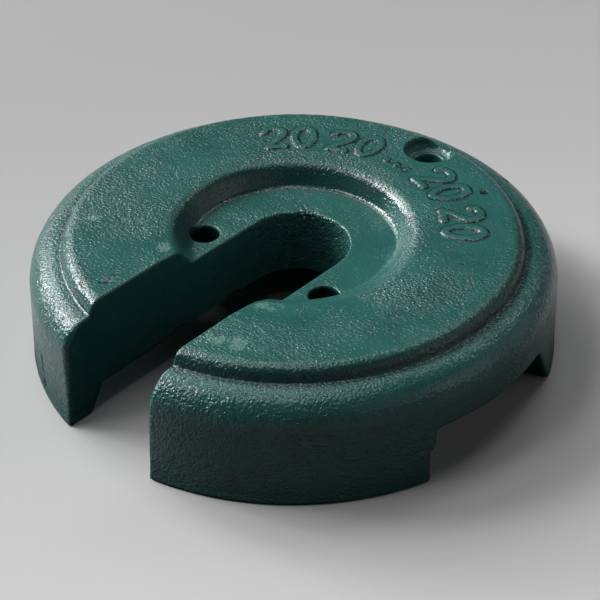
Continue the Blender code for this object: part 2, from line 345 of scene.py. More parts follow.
MARKS = (
    ((-46.6, -110.2, 67.2), (-43.9, -111.3, 67.2), 0.9, 0.9),
    ((-38.6, -103.6, 68.2), (-36.6, -101.2, 68.2), 1.0, 0.5),
    ((-36.6, -101.2, 68.2), (-37.4, -98.6, 68.2), 0.7, 0.4),
    ((-39.4, -95.2, 68.2), (-37.0, -91.6, 68.2), 0.7, 0.45),
    ((-61.3, 38.4, 68.2), (-64.2, 45.4, 68.2), 0.7, 0.5),
    ((63.4, 27.1, 68.2), (71.0, 22.9, 68.2), 0.6, -0.2),
    ((71.0, 22.9, 68.2), (79.0, 20.1, 68.2), 0.7, -0.25),
    ((57.1, 94.3, 68.0), (58.0, 93.6, 68.0), 1.4, 0.9),
    ((89.4, 29.6, 68.2), (90.4, 30.6, 68.2), 0.7, 0.4),
    ((51.6, 124.0, 58.2), (52.8, 123.3, 58.2), 1.1, 0.6),
    ((58.6, -101.6, 67.8), (60.2, -101.0, 67.8), 0.9, -0.4),
    ((39.6, 50.0, 65.8), (41.8, 48.2, 65.8), 1.5, 0.35),
    ((-62.6, -128.7, 22.4), (-61.9, -129.2, 18.2), 1.1, 1.5),
    ((-61.2, -129.8, 14.8), (-60.8, -130.1, 12.4), 1.1, 1.5),
    ((-60.3, -130.6, 8.6), (-59.7, -131.0, 5.2), 1.1, 1.5),
    ((67.8, 17.2, 68.2), (68.9, 17.8, 68.2), 0.8, 0.4),
)
CHIP = (41.3, 48.6, 65.7)
SMOOTH_PATCHES = (
    ((-61.0, -84.0), 25.0),
    ((104.0, 42.0), 24.0),
    ((60.0, 96.0), 22.0),
    ((78.0, 6.0), 16.0),
)
ROUGH_PATCHES = (
    ((94.0, 8.0), 22.0),
    ((82.0, -12.0), 22.0),
)
SCUFFS = (
    ((-37.6, -60.0), 7.0),
    ((-86.8, -66.1), 6.0),
    ((48.0, -95.4), 8.0),
    ((41.0, -98.0), 7.0),
    ((33.0, -101.3), 6.5),
    ((41.0, -59.5), 7.0),
    ((34.5, -62.5), 6.0),
)
BURR = ((-17.0, 28.0, 54.5), (-13.0, 28.0, 54.5), 4.0, 1.2)
RAGGED_SIZE = 1.4 * MM

# The recess's rim, from the foot of its wall outwards: radius, how far under the top face, and round

RIM_FOOT_ROUND = 4.0 * MM
CRISP_RIM_FOOT = 56.6 * MM
CRISP_RIM = ((64.0 * MM, 0.9 * MM, 8.5 * MM), (77.0 * MM, 0.0, 40.0 * MM))
SOFT_RIM_FOOT = 52.5 * MM
SOFT_RIM = ((60.5 * MM, 5.6 * MM, 9.0 * MM), (69.0 * MM, 1.8 * MM, 20.0 * MM), (86.0 * MM, 0.0, 60.0 * MM))
SOFT_RIM_MIDDLE = 60.0
SOFT_RIM_FULL = 35.0
SOFT_RIM_GONE = 80.0

# The two notches under the slot's left wall, placed from the slot's mouth

NOTCH_WIDTH = 13.5 * MM
NOTCH_RISE = 2.6 * MM
NOTCH_REACH = 22.0 * MM
NOTCH_ROUND = 1.0 * MM
NOTCH_PLACES = (82.2 * MM, 123.1 * MM)

# How pebbled each part of the skin is. The recess's two are shares of what its place would have.

PEBBLED_LEFT, PEBBLED_RIGHT = 0.9, 0.45
PEBBLED_RECESS_FLOOR, PEBBLED_RECESS_WALL = 0.55, 0.25
PEBBLED_SHOULDER_LEFT, PEBBLED_SHOULDER_RIGHT = 0.85, 0.35
PEBBLED_SLOT_END = 2.2
PEBBLED_SMOOTH_PATCH = 0.5
PEBBLED_ROUGH_PATCH = 0.9
PEBBLED_POCKET = 0.2

# How much painted shade each place gets and where it lies on the step and on the recess's wall, with the painted
# shade and soiling by the numbers and in the marks, and the pale flecks of painted glints and rubbing on the slot's
# end

SHADE_ON_WALLS = 0.45
SHADE_IN_SLOT = 0.3
SHADE_STEP_MIDDLE = 75.0
SHADE_RECESS_RADIUS = 59.5 * MM
SHADE_BY_NUMBERS = 0.75
SHADE_MARK_DEPTH = 0.35 * MM
END_GLINTS_AND_RUBBING = 0.35


class CastingField:
    """Field of the whole casting."""

    def __init__(self, shape, surface):
        self.shape = shape
        self.surface = surface
        self.top = shape.height - shape.relief
        self.crisp = self.turned(CRISP_RIM_FOOT, CRISP_RIM)
        self.soft = self.turned(SOFT_RIM_FOOT, SOFT_RIM)
        self.holes = [self.middle(name) for name in ("left_peg_hole", "right_peg_hole", "rear_peg_hole")]

    @staticmethod
    def middle(opening):
        """Centre of an opening, in plan."""
        return OPENINGS[opening].mean(axis=0)[:2]

    def turned(self, foot, rim):
        """The turned body, with the given foot and corners of the recess's rim."""
        wall = [(radius, self.top - drop, edge) for radius, drop, edge in rim]
        section = self.section([(foot, self.shape.recess_floor, RIM_FOOT_ROUND), *wall])
        return OutlineField(section, self.shape.outer_radius, self.shape.height)

    def section(self, rim):
        """Half section from the middle of the recess's floor, out over the disc, down the wall and in underneath."""
        s = self.shape
        step = s.outer_radius - s.shoulder_width
        shoulder = s.height - s.shoulder_drop
        sole_inner = s.outer_radius - s.sole_width
        riser_top, riser_foot = step - 0.8 * MM, step + 0.3 * MM
        foot_rise, wall_fall = 0.2 * MM, 0.3 * MM
        riser_round, sole_round, sole_inner_round, underside_round = 1.0 * MM, 1.4 * MM, 3.0 * MM, 5.0 * MM
        corners = [(0.0, s.recess_floor, 0.0), *rim]
        corners += [(riser_top, self.top, s.disc_round), (riser_foot, shoulder + foot_rise, riser_round)]
        corners += [(s.outer_radius - s.wall_draft - wall_fall, shoulder - wall_fall, s.shoulder_round)]
        corners += [(s.outer_radius, 0.0, sole_round), (sole_inner, 0.0, sole_inner_round)]
        corners += [(sole_inner - s.foot_run, s.underside, underside_round), (0.0, s.underside, 0.0)]
        return rounded(corners)

    @staticmethod
    def from_soft(angle):
        """How many degrees an angle is from the middle of the soft rim."""
        return np.abs(turn_from(SOFT_RIM_MIDDLE, angle))

    def body(self, r, z, angle):
        """The turned body. The recess's rim is crisp, but rolls over slowly about the right front."""
        softness = 1.0 - blend(SOFT_RIM_FULL, SOFT_RIM_GONE, self.from_soft(angle))
        return self.crisp(r, z) * (1 - softness) + self.soft(r, z) * softness

    def from_holes(self, x, y):
        """Plan distance to the middle of each stake hole, the rear one last."""
        return [np.hypot(x - hole_x, y - hole_y) for hole_x, hole_y in self.holes]

    def slot(self, x, y):
        """Plan distance to the slot's walls, negative in the slot."""
        behind = np.maximum(y - self.shape.slot_end, 0.0)
        return np.hypot(x, behind) - self.shape.slot_width / 2

    def grips(self, x, y, z, r):
        """Both grips at once: between two radial walls, outside the inner wall and under the arch."""
        s = self.shape
        angle = np.degrees(np.arctan2(np.abs(x), -y))
        ledge_soft, inner_round, arch_round = 0.6 * MM, 6 * MM, 3 * MM
        ledge = 1.0 - blend(s.ledge_height - ledge_soft, s.ledge_height + ledge_soft, z)
        front = s.grip_front - s.ledge_angle * ledge
        rear = s.grip_rear + s.grip_flare * (1.0 - z / s.grip_height)
        sides = np.radians(np.maximum(front - angle, angle - rear)) * r
        across = joined(sides, s.outer_radius - s.grip_depth - r, inner_round)
        return joined(across, z - s.grip_height, arch_round)

    def notches(self, x, y, z):
        """Two lying round notches under the left wall of the slot. Their width and rise give the radius."""
        s = self.shape
        radius = (NOTCH_RISE**2 + (NOTCH_WIDTH / 2) ** 2) / (2 * NOTCH_RISE)
        mouth = -np.sqrt(s.outer_radius**2 - (s.slot_width / 2) ** 2)
        bars = [np.hypot(y - mouth - at, z - s.underside - NOTCH_RISE + radius) for at in NOTCH_PLACES]
        return np.maximum(np.minimum(*bars) - radius, np.abs(x + s.slot_width / 2) - NOTCH_REACH)

    def plain(self, x, y, z):
        """The casting without its numbers, lumps and marks."""
        s, t = self.shape, self.surface
        r, angle = polar(x, y)
        field = self.body(r, z, angle)
        mouth = s.mouth_round_sole + (s.mouth_round_top - s.mouth_round_sole) * np.clip(z / s.height, 0.0, 1.0)
        at_mouth = blend(s.outer_radius - 16 * MM, s.outer_radius - 5 * MM, r)
        field = joined(field, -self.slot(x, y), t.edge_round * (1 - at_mouth) + mouth * at_mouth)
        field = joined(field, -self.grips(x, y, z, r), t.grip_round)
        field = joined(field, -self.notches(x, y, z), NOTCH_ROUND)
        for away in self.from_holes(x, y):
            field = joined(field, s.hole_radius - away, t.hole_round)
        corner_round, edge_round = 4.5 * MM, 1.2 * MM
        pocket = joined(self.from_holes(x, y)[-1] - s.pocket_radius, s.pocket_floor - z, corner_round)
        return joined(field, -pocket, edge_round)

    def importance(self, x, y, z):
        """How many triangles each place earns: most at the holes, the slot's edge and the marks, least underneath."""
        s = self.shape
        unseen, usual, numbers, finest = 0.0, 0.6, 0.9, 1.0
        levels = np.full(x.shape, usual)
        levels[self.number_zone(x, y, z)] = numbers
        for away in self.from_holes(x, y):
            levels[(away < 10 * MM) & (z > 30 * MM)] = finest
        levels[(np.abs(self.slot(x, y)) < 2.5 * MM) & (z > s.recess_floor - 3 * MM)] = finest
        levels[self.marks(x, y, z) > 0.03 * MM] = finest
        levels[(z < s.underside + 1 * MM) & (np.hypot(x, y) < s.outer_radius - s.sole_width)] = unseen
        return levels

    def pebbled(self, x, y, z):
        """How pebbled the skin is: 0 is smooth, 1 rough.

        The top and the shoulder are rougher at the left than at the right, the recess's floor smoother and its wall
        nearly smooth, and the slot's round end roughest. Noise and the listed patches go on top."""
        s = self.shape
        r = np.hypot(x, y)
        leftness = 1.0 - blend(-30 * MM, 30 * MM, x - 0.5 * y + 20 * MM)
        level = PEBBLED_RIGHT + (PEBBLED_LEFT - PEBBLED_RIGHT) * leftness
        on_wall, on_rim = blend(50 * MM, 56 * MM, r), blend(61 * MM, 70 * MM, r)
        in_recess = PEBBLED_RECESS_FLOOR + (PEBBLED_RECESS_WALL - PEBBLED_RECESS_FLOOR) * on_wall
        level = level * (in_recess + (1.0 - PEBBLED_RECESS_WALL) * on_rim)
        rightness = blend(0.0, 120 * MM, x + 0.3 * y)
        shoulder = PEBBLED_SHOULDER_LEFT + (PEBBLED_SHOULDER_RIGHT - PEBBLED_SHOULDER_LEFT) * rightness
        level = level + (shoulder - level) * blend(s.outer_radius - 15 * MM, s.outer_radius - 5 * MM, r)
        slot_end = (1.0 - blend(-0.3 * MM, 1.2 * MM, self.slot(x, y))) * blend(-5 * MM, 5 * MM, y)
        level = level + (PEBBLED_SLOT_END - level) * slot_end
        level = level + 0.35 * lattice_noise(x, y, z, 26 * MM, PATCHES)
        level = level + 0.25 * lattice_noise(x, y, z, 11 * MM, SMALL_PATCHES)
        level = level * (1.0 - 0.35 * self.number_zone(x, y, z))
        on_disc = 1.0 - blend(108 * MM, 118 * MM, r)
        for patch in SMOOTH_PATCHES:
            inside = 1.0 - blend(0.3, 1.3, patch_distance(x, y, patch))
            level = level * (1.0 - PEBBLED_SMOOTH_PATCH * inside * on_disc)
        for patch in ROUGH_PATCHES:
            inside = 1.0 - blend(0.2, 1.2, patch_distance(x, y, patch))
            level = level + PEBBLED_ROUGH_PATCH * inside * on_disc
        in_pocket = self.from_holes(x, y)[-1] < s.pocket_radius
        return np.maximum(level * np.where(in_pocket, PEBBLED_POCKET, 1.0), 0.05)

    def marks(self, x, y, z):
        """Depth of the marks. Each is a bell across its run, with a ragged outline."""
        ragged = 1.0 + 0.5 * lattice_noise(x, y, z, RAGGED_SIZE, RAGGED)
        total = np.zeros(x.shape)
        for start, end, half_width, depth in MARKS:
            away = run_distance((x, y, z), np.array(start) * MM, np.array(end) * MM) * ragged
            total += depth * MM * np.exp(-((away / (half_width * MM)) ** 2))
        return total

    def unevenness(self, x, y, z):
        """How far the real skin lies inside the plain one: sway, lumps, pebbles, marks and the burr."""
        t = self.surface
        steady = blend(0.5 * MM, 6 * MM, z)
        sway = 0.5 + 0.5 * lattice_noise(x, y, z, 34 * MM, SWAY)
        lumps = 0.5 + 0.35 * lattice_noise(x, y, z, 9 * MM, LUMPS)
        lumps = lumps + 0.15 * lattice_noise(x, y, z, 4.6 * MM, SMALL_LUMPS)
        pebbles = 0.5 + 0.5 * lattice_noise(x, y, z, 2.6 * MM, PEBBLES)
        inset = (t.sway * sway + t.lumps * lumps + t.pebbles * pebbles * self.pebbled(x, y, z)) * steady
        start, end, half_width, depth = BURR
        away = run_distance((x, y, z), np.array(start) * MM, np.array(end) * MM)
        bell = depth * MM * np.exp(-((away / (half_width * MM)) ** 2))
        burr = bell * (0.4 + lattice_noise(x, y, z, RAGGED_SIZE, RAGGED))
        return inset + self.marks(x, y, z) + burr

    def number_zone(self, x, y, z):
        """The part of the top face that the numbers stand on."""
        from_band = np.abs(np.hypot(x, y) - NUMBER_RADIUS)
        return (z > self.top - 3 * MM) & (from_band < DIGIT_HALF_HEIGHT + 4 * MM) & (y > 0)

    def raised(self, x, y, z):
        """How far the numbers stand out, from 0 to 1, a little worn."""
        away = number_distance(*polar(x, y))
        worn = 0.9 + 0.25 * lattice_noise(x, y, z, 6 * MM, WORN)
        return np.clip(worn, 0.0, 1.0) * (1.0 - blend(0.0, STROKE_SLOPE, away - STROKE_HALF_WIDTH + STROKE_SLOPE / 2))

    def beside_numbers(self, x, y, z):
        """The foot of the numbers' strokes, which gets painted shade with some soiling: 1 there, falling to 0."""
        away = number_distance(*polar(x, y))
        foot = 1.0 - blend(0.0, NUMBER_FOOT, np.abs(away - STROKE_HALF_WIDTH - STROKE_SLOPE / 2))
        return foot * self.number_zone(x, y, z)

    def painted_shade(self, x, y, z):
        """Where painted shade darkens the enamel, from 0 to 1.

        It is strongest in the bores, weaker on the step at the right and on the recess's crisp wall, and weakest
        on the slot's straight walls."""
        s = self.shape
        r, angle = polar(x, y)
        at_step = 1.0 - blend(2.5 * MM, 4.5 * MM, np.abs(r - s.outer_radius + s.shoulder_width))
        at_step *= 1.0 - blend(60.0, 85.0, np.abs(angle - SHADE_STEP_MIDDLE))
        at_recess = 1.0 - blend(4.5 * MM, 6.5 * MM, np.abs(r - SHADE_RECESS_RADIUS))
        at_recess *= blend(75.0, 115.0, self.from_soft(angle))
        low = (1.0 - blend(self.top - 2 * MM, self.top, z)) * (z > s.recess_floor - 1 * MM)
        in_slot = (self.slot(x, y) < 0.8 * MM) * (y < 0) * (1.0 - blend(-14 * MM, -4 * MM, r - s.outer_radius))
        total = np.maximum(SHADE_ON_WALLS * np.maximum(at_step, at_recess) * low, SHADE_IN_SLOT * in_slot)
        for away in self.from_holes(x, y):
            total = np.maximum(total, (away < s.hole_radius + 0.8 * MM) & (z < s.recess_floor - 1.5 * MM))
        return total

    def glints_and_rubbing_at_end(self, x, y, z):
        """Pale flecks on the slot's round end at the right, partly painted glints and partly rubbing by the legs,
        fading towards its left and foot.
        """
        at_end = (self.slot(x, y) < 0.5 * MM) * (y > 0)
        return END_GLINTS_AND_RUBBING * at_end * blend(-12 * MM, 8 * MM, x) * blend(25 * MM, 45 * MM, z)

    def detail(self, x, y, z):
        """What the unevenness and the numbers add to the plain field."""
        added = self.unevenness(x, y, z)
        zone = self.number_zone(x, y, z)
        added[zone] -= self.shape.relief * self.raised(x[zone], y[zone], z[zone])
        return added

    def __call__(self, x, y, z):
        """The finished casting."""
        return self.plain(x, y, z) + self.detail(x, y, z)

    def sampled(self, low, cell, counts):
        """The finished casting's field on a grid, one level at a time. Detail is only worked out near the skin."""
        x, y = np.meshgrid(*(low[i] + cell * np.arange(counts[i]) for i in range(2)), indexing="ij")
        values = np.empty(counts, np.float32)
        for k in range(counts[2]):
            z = np.full(x.shape, low[2] + cell * k)
            level = self.plain(x, y, z)
            near = np.abs(level) < 2.5 * cell
            level[near] += self.detail(x[near], y[near], z[near])
            values[:, :, k] = level
        return values


# Mesh of the zero level


def surface_net(values):
    """Points and quads of the zero level of a grid of values, in grid units.

    Each cell that the level passes has one point, the mean of where the level crosses the cell's edges. Each
    crossed edge has one quad, through the four cells round it, turned so that it faces the positive side."""
    cells = tuple(n - 1 for n in values.shape)
    inside = values < 0
    keys, places, quads = [], [], []
    for axis in range(3):
        low = tuple(slice(None, -1) if i == axis else slice(None) for i in range(3))
        high = tuple(slice(1, None) if i == axis else slice(None) for i in range(3))
        start = np.stack(np.nonzero(inside[low] != inside[high]), axis=-1)
        index = tuple(start.T)
        before, after = values[low][index], values[high][index]
        place = start.astype(float)
        place[:, axis] += before / (before - after)
        u, v = (axis + 1) % 3, (axis + 2) % 3
        corners = []
        for du, dv in ((0, 0), (1, 0), (1, 1), (0, 1)):
            cell = start.copy()
            cell[:, u] -= du
            cell[:, v] -= dv
            corners.append(np.ravel_multi_index(tuple(cell.T), cells))
            keys.append(corners[-1])
            places.append(place)
        quad = np.stack(corners, axis=-1)
        outwards = inside[low][index]
        quads.append(np.where(outwards[:, None], quad, quad[:, ::-1]))
    keys, quads = np.concatenate(keys), np.concatenate(quads)
    used, owner, count = np.unique(keys, return_inverse=True, return_counts=True)
    places = np.concatenate(places)
    points = np.stack([np.bincount(owner, places[:, i]) / count for i in range(3)], axis=-1)
    return points, np.searchsorted(used, quads)


def gradient(field, points, reach):
    """Direction in which the field grows, from its change over a short reach each way along each axis."""
    slopes = []
    for axis in range(3):
        offset = np.zeros(3)
        offset[axis] = reach
        slopes.append(field(*(points + offset).T) - field(*(points - offset).T))
    return np.stack(slopes, axis=-1) / (2 * reach)


def settled(field, points, reach, rounds):
    """Points moved onto the zero level, each along the field's slope by the field over the slope's steepness."""
    for _ in range(rounds):
        slope = gradient(field, points, reach)
        steepness = np.maximum((slope**2).sum(axis=-1), 0.25)
        step = np.clip(field(*points.T) / steepness, -1 * MM, 1 * MM)
        points = points - slope * step[:, None]
    return points


# How far apart the field is read for each slope, and for how far the skin curves into a corner, which sets its
# painted shade

SETTLE_REACH = 0.25 * MM
SETTLE_ROUNDS = 3
NORMAL_REACH = 0.35 * MM
CORNER_REACH = 2.5 * MM


def mesh_from(name, points, faces):
    mesh = bpy.data.meshes.new(name)
    mesh.from_pydata(points, [], faces)
    mesh.validate()
    return mesh


def thinned(obj, triangles, importance):
    """The object's mesh as triangles, thinned to at most that many.

    Flat places lose most, and places of low importance lose more than those of high importance."""
    obj.modifiers.new("triangles", "TRIANGULATE")
    count = 2 * len(obj.data.polygons)
    if count > triangles:
        group = obj.vertex_groups.new(name="thin")
        for level in np.unique(importance):
            group.add(np.nonzero(importance == level)[0].tolist(), 1.0 - float(level), "REPLACE")
        thin = obj.modifiers.new("thin", "DECIMATE")
        thin.ratio = triangles / count
        thin.vertex_group = group.name
        thin.vertex_group_factor = 1.0
    depsgraph = bpy.context.evaluated_depsgraph_get()
    mesh = bpy.data.meshes.new_from_object(obj.evaluated_get(depsgraph))
    obj.modifiers.clear()
    obj.vertex_groups.clear()
    obj.data = mesh


def vertex_points(mesh):
    flat = np.empty(len(mesh.vertices) * 3)
    mesh.vertices.foreach_get("co", flat)
    return flat.reshape(-1, 3)


def add_attribute(mesh, name, values):
    attribute = mesh.attributes.new(name, "FLOAT", "POINT")
    attribute.data.foreach_set("value", values.astype(np.float32))


def hollowness(field, points, normals, reach):
    """How far the plain skin curves into a corner at each point, from -1 on an edge to 1 in a corner.

    It compares the field a reach outside the skin with the reach itself: less room outside means a corner."""
    outside = field.plain(*(points + normals * reach).T)
    inside = -field.plain(*(points - normals * reach).T)
    return np.clip((inside - outside) / reach, -1.0, 1.0)


def scuffed(x, y, z, top):
    """Where the pale scuffs are, from 0 to 1."""
    total = np.zeros(x.shape)
    for patch in SCUFFS:
        total = np.maximum(total, 1.0 - blend(0.3, 1.0, patch_distance(x, y, patch)))
    ragged = 0.8 + 0.9 * lattice_noise(x, y, z, 5 * MM, SCUFFED)
    return np.clip(total * ragged, 0.0, 1.0) * blend(top - 8 * MM, top - 4 * MM, z)


class MESH_OT_tent_weight_casting(bpy.types.Operator):
    """Build the painted casting"""

    bl_idname = "mesh.tent_weight_casting"
    bl_label = "Casting"

    def execute(self, context):
        look = context.scene.tent_weight_surface
        field = CastingField(context.scene.tent_weight_shape, look)
        cell = look.cell
        low = np.array(CAD_BOX[0]) - 2.5 * cell
        counts = np.ceil((np.array(CAD_BOX[1]) + 2.5 * cell - low) / cell).astype(int) + 1
        points, quads = surface_net(field.sampled(low, cell, counts))
        points = low + points * cell

        obj = bpy.data.objects.new("painted_casting", mesh_from("painted_casting", points, quads))
        context.scene.collection.objects.link(obj)
        thinned(obj, look.triangles, field.importance(*points.T))
        mesh = obj.data
        mesh.name = obj.name

        points = settled(field, vertex_points(mesh), SETTLE_REACH, SETTLE_ROUNDS)
        points[:, 2] = np.maximum(points[:, 2], CAD_BOX[0].z)
        mesh.vertices.foreach_set("co", points.ravel())
        normals = gradient(field, points, NORMAL_REACH)
        normals /= np.linalg.norm(normals, axis=-1, keepdims=True)
        mesh.shade_smooth()
        mesh.normals_split_custom_set_from_vertices(normals)

        add_attribute(mesh, "pebbled", field.pebbled(*points.T))
        # How much painted shade, with some soiling, darkens each point: corners, the numbers' feet, the marks, shaded
        # walls and bores
        hollow = hollowness(field, points, normals, CORNER_REACH)
        hollow = np.maximum(hollow, SHADE_BY_NUMBERS * field.beside_numbers(*points.T))
        # Painted shade with some soiling in the marks, full where they are this deep
        hollow = np.maximum(hollow, np.minimum(field.marks(*points.T) / SHADE_MARK_DEPTH, 1.0))
        add_attribute(mesh, "hollow", np.maximum(hollow, field.painted_shade(*points.T)))
        # Pale flecks: real scuffs on the top, and on the slot's end painted glints with some rubbing
        add_attribute(mesh, "scuffed", np.maximum(scuffed(*points.T, field.top), field.glints_and_rubbing_at_end(*points.T)))
        mesh.materials.clear()
        mesh.materials.append(green_enamel(context.scene.tent_weight_enamel))
        mesh.update()
        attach(obj, "root")
        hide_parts("weight_casting")
        return {"FINISHED"}


# Materials


class NodeTree:
    """Adds nodes to a material and joins them."""

    def __init__(self, name):
        self.material = bpy.data.materials.new(name)
        self.material.use_nodes = True
        self.tree = self.material.node_tree
        self.shader = self.tree.nodes["Principled BSDF"]
        self.coordinates = self.tree.nodes.new("ShaderNodeTexCoord").outputs["Object"]

    def add(self, kind, inputs=(), **settings):
        """A node with its settings and inputs. An input is a value or another node's output."""
        node = self.tree.nodes.new(kind)
        for key, value in settings.items():
            setattr(node, key, value)
        for key, value in dict(inputs).items():
            self.feed(node.inputs[key], value)
        return node

    def feed(self, socket, value):
        if isinstance(value, bpy.types.NodeSocket):
            self.tree.links.new(value, socket)
        else:
            socket.default_value = value

    def noise(self, size, detail=2.0, roughness=0.5):
        """Noise from 0 to 1 whose features are about this size."""
        inputs = {"Vector": self.coordinates, "Scale": 1 / size, "Detail": detail, "Roughness": roughness}
        return self.add("ShaderNodeTexNoise", inputs).outputs["Fac"]

    def attribute(self, name):
        return self.add("ShaderNodeAttribute", attribute_name=name).outputs["Fac"]

    def plus(self, a, b):
        return self.add("ShaderNodeMath", {0: a, 1: b}, operation="ADD").outputs[0]

    def times(self, a, b):
        return self.add("ShaderNodeMath", {0: a, 1: b}, operation="MULTIPLY").outputs[0]

    def ramp(self, value, low, high):
        """0 below low, 1 above high, smooth between."""
        inputs = {"Value": value, "From Min": low, "From Max": high}
        return self.add("ShaderNodeMapRange", inputs, interpolation_type="SMOOTHSTEP").outputs["Result"]

    def mix(self, factor, a, b):
        node = self.add("ShaderNodeMix", data_type="RGBA")
        self.feed(node.inputs[0], factor)
        self.feed(node.inputs[6], a if isinstance(a, bpy.types.NodeSocket) else (*a, 1.0))
        self.feed(node.inputs[7], b if isinstance(b, bpy.types.NodeSocket) else (*b, 1.0))
        return node.outputs[2]


# Sizes of the enamel's patterns, and of the chip, which is torn back from its rim to its sound edge

COLOUR_PATCH = 22 * MM
GLOSS_PATCH = 14 * MM
FLECK = 1.1 * MM
LEATHER = 1.4 * MM
GRAIN_PITCH = 1.7 * MM
GRAIN_WARP = 1.6 * MM
GRAIN_WARP_SIZE = 1.2 * MM
CHIP_RIM = 3.8 * MM
CHIP_EDGE = 3.0 * MM
CHIP_TEAR = 2.5 * MM
CHIP_TEAR_SIZE = 1.5 * MM


def green_enamel(look):
    """Glossy enamel over sand-cast iron.

    The coat's colour wanders between full and thin, and is darkened by painted shade with some soiling in corners,
    pits, bores and on shaded walls. Flecks are pale and matt in the scuffs and are painted glints on the slot's end,
    and one chip shows the primer. Its skin is leathery, with grains of sand that are higher and more crowded where
    the casting is pebbled."""
    nodes = NodeTree("green_enamel")
    # The second attribute is painted shade with some soiling; the third is pale scuffs and painted glints
    pebbled, hollow, scuff_and_glint = (nodes.attribute(name) for name in ("pebbled", "hollow", "scuffed"))

    colour_drift = nodes.ramp(nodes.noise(COLOUR_PATCH, 3.0), 0.35, 0.65)
    colour_now = nodes.mix(colour_drift, look.base, look.thin)
    # Painted shade with some soiling: the coat goes dark in corners, marks, bores, by the numbers and on shaded walls
    shade_and_grime = nodes.times(nodes.ramp(hollow, 0.1, 0.7), 0.85)
    colour_now = nodes.mix(shade_and_grime, colour_now, look.shade_and_grime)
    # Pale flecks: real scuffs, and painted glints on the slot's end
    flecks = nodes.plus(nodes.noise(FLECK, 3.0, 0.6), nodes.times(scuff_and_glint, 0.26))
    rubbed_and_glinting = nodes.times(nodes.ramp(flecks, 0.62, 0.72), nodes.ramp(scuff_and_glint, 0.02, 0.4))
    colour_now = nodes.mix(rubbed_and_glinting, colour_now, look.scuff_and_glint)
    chip_place = tuple(c * MM for c in CHIP)
    from_chip = nodes.add("ShaderNodeVectorMath", {0: nodes.coordinates, 1: chip_place}, operation="DISTANCE")
    tear = nodes.times(nodes.noise(CHIP_TEAR_SIZE), CHIP_TEAR)
    torn = nodes.plus(from_chip.outputs["Value"], tear)
    colour_now = nodes.mix(nodes.ramp(torn, CHIP_RIM, CHIP_EDGE), colour_now, look.chip)
    nodes.feed(nodes.shader.inputs["Base Color"], colour_now)

    patchy = nodes.times(nodes.ramp(nodes.noise(GLOSS_PATCH, 2.0), 0.35, 0.7), 0.08)
    matt = nodes.times(rubbed_and_glinting, 0.25)
    nodes.feed(nodes.shader.inputs["Roughness"], nodes.plus(look.roughness, nodes.plus(patchy, matt)))
    nodes.shader.inputs["Specular IOR Level"].default_value = look.specular

    drift = nodes.add("ShaderNodeTexNoise", {"Vector": nodes.coordinates, "Scale": 1 / GRAIN_WARP_SIZE})
    warp = {0: drift.outputs["Color"], 1: (GRAIN_WARP,) * 3, 2: nodes.coordinates}
    warped = nodes.add("ShaderNodeVectorMath", warp, operation="MULTIPLY_ADD").outputs["Vector"]
    cells = nodes.add("ShaderNodeTexVoronoi", {"Vector": warped, "Scale": 1 / GRAIN_PITCH}).outputs
    dome = nodes.ramp(cells["Distance"], 0.65, 0.0)
    crowded = nodes.plus(cells["Color"], nodes.times(pebbled, 0.55))
    taller = nodes.plus(0.5, nodes.times(pebbled, 0.8))
    grains = nodes.times(nodes.times(dome, taller), nodes.ramp(crowded, 0.72, 1.0))
    leather_height = nodes.plus(0.35, nodes.times(pebbled, 0.6))
    leather = nodes.times(nodes.noise(LEATHER, 1.0), leather_height)
    height = nodes.plus(nodes.times(grains, 0.35), leather)
    bump = nodes.add("ShaderNodeBump", {"Height": height, "Strength": 1.0, "Distance": look.grain})
    nodes.feed(nodes.shader.inputs["Normal"], bump.outputs["Normal"])
    return nodes.material


# Where the paper's looks, its painted light and its painted shadow change: along the line to its palest side, or out
# from the axis

PAINTED_LIGHT_ALONG = (-0.45, 0.45)
MIRRORED_ALONG = (0.15, 0.02)
MIRRORED_FROM_AXIS = (0.14, 0.16)
SHADED_FROM_AXIS = (0.125, 0.05)


def paper(look):
    """Plain pale paper, with painted light that grows from far to near, and a painted shadow under the weight.

    Only the camera sees its full colour. The casting gets a small share as light, and mirrors a larger one, which
    grows from near to far and begins just outside the weight."""
    nodes = NodeTree("paper_sweep")
    palest = np.radians(look.azimuth + look.painted_light_turn)
    towards = (np.sin(palest), -np.cos(palest), 0.0)
    along = nodes.add("ShaderNodeVectorMath", {0: nodes.coordinates, 1: towards}, operation="DOT_PRODUCT")
    along = along.outputs["Value"]
    from_axis = nodes.add("ShaderNodeVectorMath", {0: nodes.coordinates}, operation="LENGTH").outputs["Value"]
    # Painted light: the paper is paler towards the camera and to its right
    painted_light_and_shadow = nodes.mix(nodes.ramp(along, *PAINTED_LIGHT_ALONG), look.floor_painted_light_far, look.floor_painted_light_near)
    # Painted shadow on the paper under the weight
    painted_light_and_shadow = nodes.mix(nodes.ramp(from_axis, *SHADED_FROM_AXIS), painted_light_and_shadow, look.painted_shadow_under)

    path = nodes.add("ShaderNodeLightPath").outputs
    seen = nodes.plus(look.bounce, nodes.times(path["Is Camera Ray"], 1.0 - look.bounce))
    mirrored = nodes.times(nodes.ramp(along, *MIRRORED_ALONG), look.mirrored_far - look.mirrored_near)
    mirrored = nodes.plus(mirrored, look.mirrored_near)
    mirrored = nodes.times(mirrored, nodes.ramp(from_axis, *MIRRORED_FROM_AXIS))
    mirrored = nodes.times(path["Is Glossy Ray"], nodes.plus(mirrored, -look.bounce))
    shown = nodes.mix(nodes.plus(seen, mirrored), (0.0, 0.0, 0.0), painted_light_and_shadow)
    nodes.feed(nodes.shader.inputs["Base Color"], shown)
    nodes.shader.inputs["Roughness"].default_value = 0.75
    nodes.shader.inputs["Specular IOR Level"].default_value = 0.2
    return nodes.material


# Studio


FLOOR_HALF_WIDTH = 12.0
FLOOR_STEPS = 9


